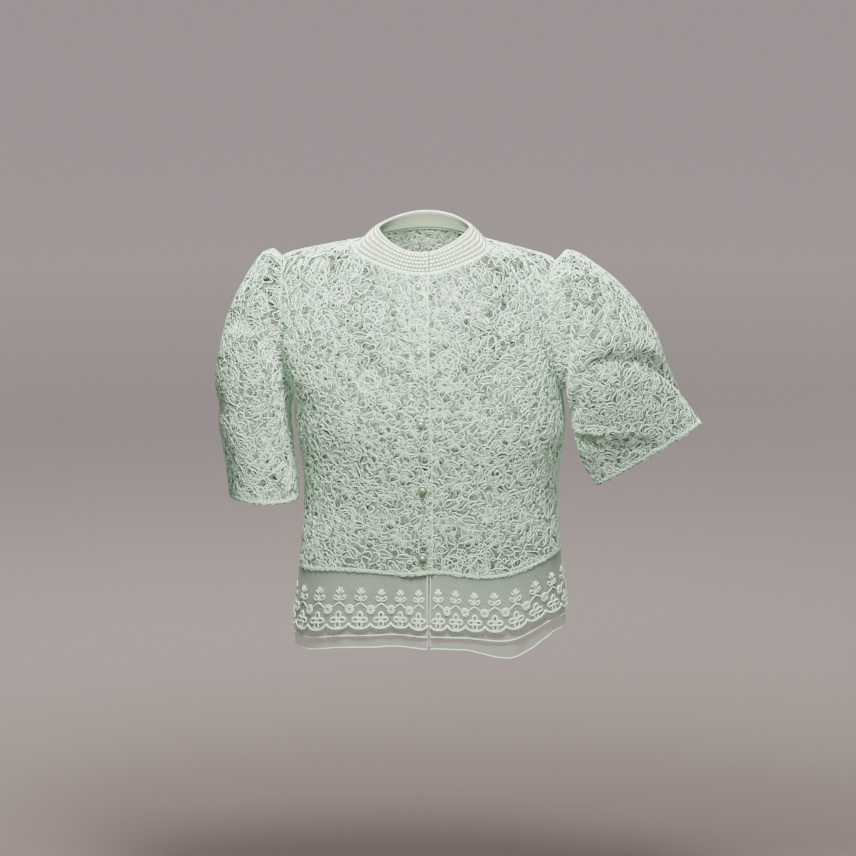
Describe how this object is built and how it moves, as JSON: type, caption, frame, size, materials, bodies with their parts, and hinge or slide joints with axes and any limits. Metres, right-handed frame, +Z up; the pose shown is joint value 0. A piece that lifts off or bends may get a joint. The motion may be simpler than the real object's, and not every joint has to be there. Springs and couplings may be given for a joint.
{
  "type": "blouse",
  "caption": "Short-sleeved lace blouse in its worn shape, with puff sleeves, a beaded neckband, a buttoned front and a layered organza peplum with a scalloped cutwork edge.",
  "frame": {"origin": "middle of the neck opening, level with the two neck points, where the wearer's neck and shoulders hold the blouse up", "axes": "+Z up, -Y the front with the buttons, +X the wearer's left"},
  "size_m": [0.6307, 0.2391, 0.5634],
  "materials": {
    "guipure_lace": "corded floral lace of ivory thread with open gaps, matt with a slight sheen on the raised cords",
    "organza": "sheer plain-woven ivory organza with a soft sheen and satin-stitched cutwork",
    "pearl_beads": "small ivory imitation pearls in rows on a band with satin piping",
    "pearl_buttons": "lustrous imitation pearl domes in a ring setting"
  },
  "bodies": {
    "root": {"front_right": "guipure_lace", "front_left": "guipure_lace", "back": "guipure_lace", "sleeve_right": "guipure_lace", "sleeve_left": "guipure_lace", "neckband": "pearl_beads", "peplum_front_right": "organza", "peplum_front_left": "organza", "peplum_back": "organza", "peplum_middle": "organza", "peplum_lower": "organza", "button_1": "pearl_buttons", "button_2": "pearl_buttons", "button_3": "pearl_buttons", "button_4": "pearl_buttons", "button_5": "pearl_buttons"}
  },
  "joints": []
}
